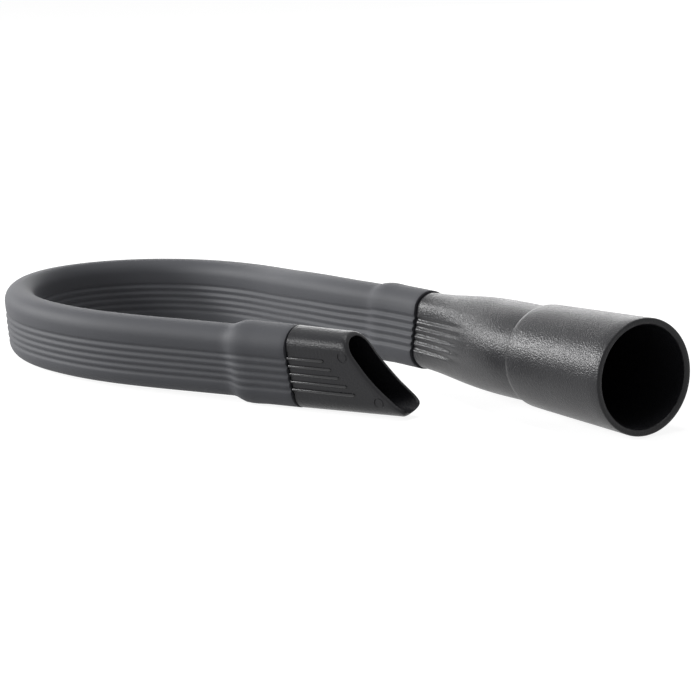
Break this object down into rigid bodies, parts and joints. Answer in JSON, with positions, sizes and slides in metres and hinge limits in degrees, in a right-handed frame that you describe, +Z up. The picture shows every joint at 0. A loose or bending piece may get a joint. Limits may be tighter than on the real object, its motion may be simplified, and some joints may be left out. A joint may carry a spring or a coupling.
{
  "type": "flexible vacuum crevice hose",
  "caption": "Flat flexible vacuum hose bent into a U, with a round push-on cuff at one end and a slant-cut crevice nozzle at the other.",
  "frame": {"origin": "centre of the round mouth of the cuff", "axes": "+X leaves the mouth along the bore, +Z is up from the surface the tool lies on"},
  "size_m": [0.3198, 0.1145, 0.0405],
  "materials": {
    "cuff": "fine pebble grain",
    "hose": "matte",
    "nozzle": "satin"
  },
  "bodies": {
    "cuff_side": {"cuff": "cuff", "hose_run_cuff": "hose"},
    "loop": {"hose_loop_cuff": "hose", "hose_loop_nozzle": "hose"},
    "nozzle_side": {"hose_run_nozzle": "hose", "nozzle": "nozzle"}
  },
  "joints": [
    {"name": "bend_near_cuff", "type": "hinge", "parent": "cuff_side", "child": "loop", "pos_m": [-0.3053, -0.0018, -0.0067], "axis": [0, 0, -1], "range_deg": [-1.5, 95]},
    {"name": "bend_near_nozzle", "type": "hinge", "parent": "loop", "child": "nozzle_side", "pos_m": [-0.2905, -0.0816, -0.0067], "axis": [0, 0, -1], "range_deg": [-1.5, 100]}
  ]
}
